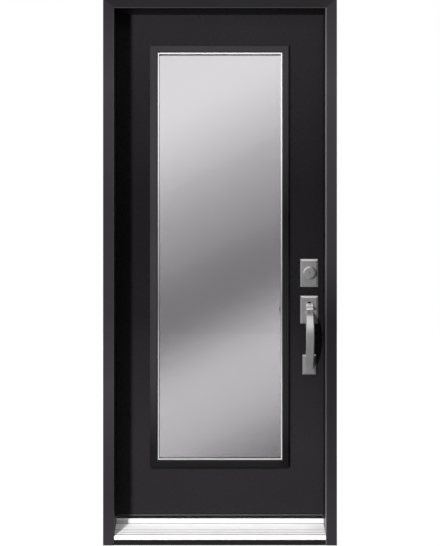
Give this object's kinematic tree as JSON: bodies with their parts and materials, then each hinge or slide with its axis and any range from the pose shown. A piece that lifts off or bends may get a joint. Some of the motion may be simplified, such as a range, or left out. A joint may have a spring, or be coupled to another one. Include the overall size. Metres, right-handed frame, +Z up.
{
  "type": "glazed steel entry door in its frame",
  "caption": "Dark pre-hung steel entry door with a tall glazed lite, cased frame, ribbed aluminium sill, deadbolt and thumb-lever handleset; the leaf swings inward.",
  "frame": {"origin": "underside of the sill, midway between the jambs, in the plane where the casing meets the jambs", "axes": "+X to the right as seen from outside, +Y inward through the doorway, +Z up"},
  "size_m": [0.92, 0.2, 2.156],
  "materials": {
    "frame_paint": "satin charcoal paint",
    "sill_substrate": "dark composite",
    "sill_aluminium": "mill finish, ribbed",
    "seal_foam": "foam core in a black jacket",
    "door_paint": "satin black paint on steel",
    "lite_frame": "moulded surround, painted to match",
    "core_foam": "rigid foam",
    "stile_wood": "bare softwood",
    "clear_glass": "clear float glass",
    "spacer_metal": "bright",
    "sweep_vinyl": "charcoal vinyl",
    "satin_nickel": "satin nickel plate"
  },
  "bodies": {
    "frame": {"hinge_jamb": "frame_paint", "latch_jamb": "frame_paint", "head_jamb": "frame_paint", "left_casing": "frame_paint", "right_casing": "frame_paint", "head_casing": "frame_paint", "sill_base": "sill_substrate", "sill_deck": "sill_aluminium", "sill_cap": "sill_aluminium", "hinge_side_seal": "seal_foam", "latch_side_seal": "seal_foam", "head_seal": "seal_foam", "deadbolt_strike": "satin_nickel", "latch_strike": "satin_nickel", "upper_frame_hinge": "satin_nickel", "middle_frame_hinge": "satin_nickel", "lower_frame_hinge": "satin_nickel"},
    "door": {"exterior_skin": "door_paint", "interior_skin": "door_paint", "foam_core": "core_foam", "hinge_stile": "stile_wood", "lock_stile": "stile_wood", "top_rail": "stile_wood", "bottom_rail": "stile_wood", "outer_lite_frame": "lite_frame", "inner_lite_frame": "lite_frame", "outer_glass": "clear_glass", "inner_glass": "clear_glass", "glass_spacer": "spacer_metal", "bottom_sweep": "sweep_vinyl", "upper_door_hinge": "satin_nickel", "middle_door_hinge": "satin_nickel", "lower_door_hinge": "satin_nickel", "deadbolt_rose": "satin_nickel", "deadbolt_cylinder": "satin_nickel", "inner_deadbolt_rose": "satin_nickel", "deadbolt_thumbturn": "satin_nickel", "deadbolt_unit": "satin_nickel", "handle_rose": "satin_nickel", "handle_grip": "satin_nickel", "handle_base": "satin_nickel", "inner_handle_rose": "satin_nickel", "inner_lever": "satin_nickel", "latch_unit": "satin_nickel"},
    "thumb_piece": {"thumb_lever": "satin_nickel"},
    "plug": {"key_plug": "satin_nickel"}
  },
  "joints": [
    {"name": "door_swing", "type": "hinge", "parent": "frame", "child": "door", "pos_m": [-0.431, 0.1235, 1], "axis": [0, 0, 1], "range_deg": [0, 110]},
    {"name": "thumb_press", "type": "hinge", "parent": "door", "child": "thumb_piece", "pos_m": [0.3595, 0.066, 0.945], "axis": [1, 0, 0], "range_deg": [0, 12], "stiffness_Nm_per_rad": 0.4, "springref_deg": -8.59},
    {"name": "key_turn", "type": "hinge", "parent": "door", "child": "plug", "pos_m": [0.3595, 0.055, 1.071], "axis": [0, -1, 0], "range_deg": [-90, 0]}
  ]
}
